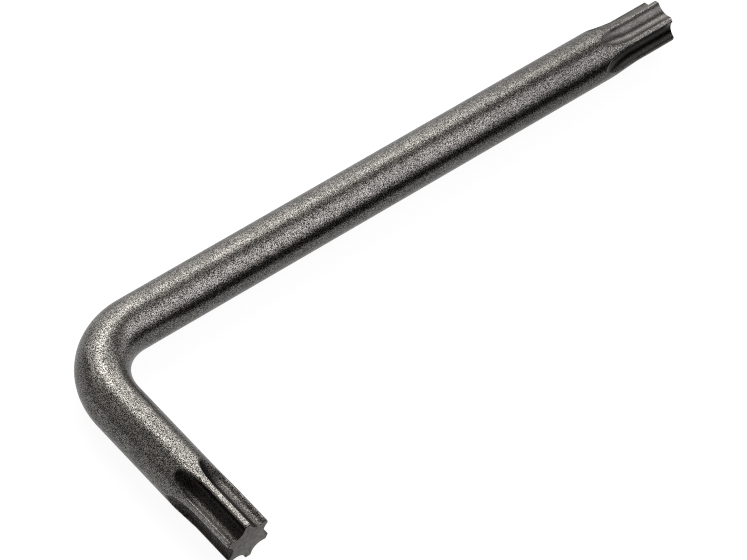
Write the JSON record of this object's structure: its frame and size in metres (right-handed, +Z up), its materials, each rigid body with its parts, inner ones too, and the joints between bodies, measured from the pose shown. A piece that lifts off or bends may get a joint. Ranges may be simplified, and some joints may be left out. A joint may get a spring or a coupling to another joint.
{
  "type": "star key",
  "caption": "L-shaped star key of dark round steel bar, bent once to a right angle, with a fluted star drive on each end for turning screws with a star recess.",
  "frame": {"origin": "middle of the key's outline, on the surface that it lies on", "axes": "+X out along the long arm, -Y out along the short arm, +Z up from the surface that the key lies flat on"},
  "size_m": [0.1008, 0.0378, 0.007],
  "materials": {
    "phosphated_steel": "dark grey phosphated steel with a fine bright grain, rubbed bright on the crests of the star"
  },
  "bodies": {
    "root": {"star_key": "phosphated_steel"}
  },
  "joints": []
}
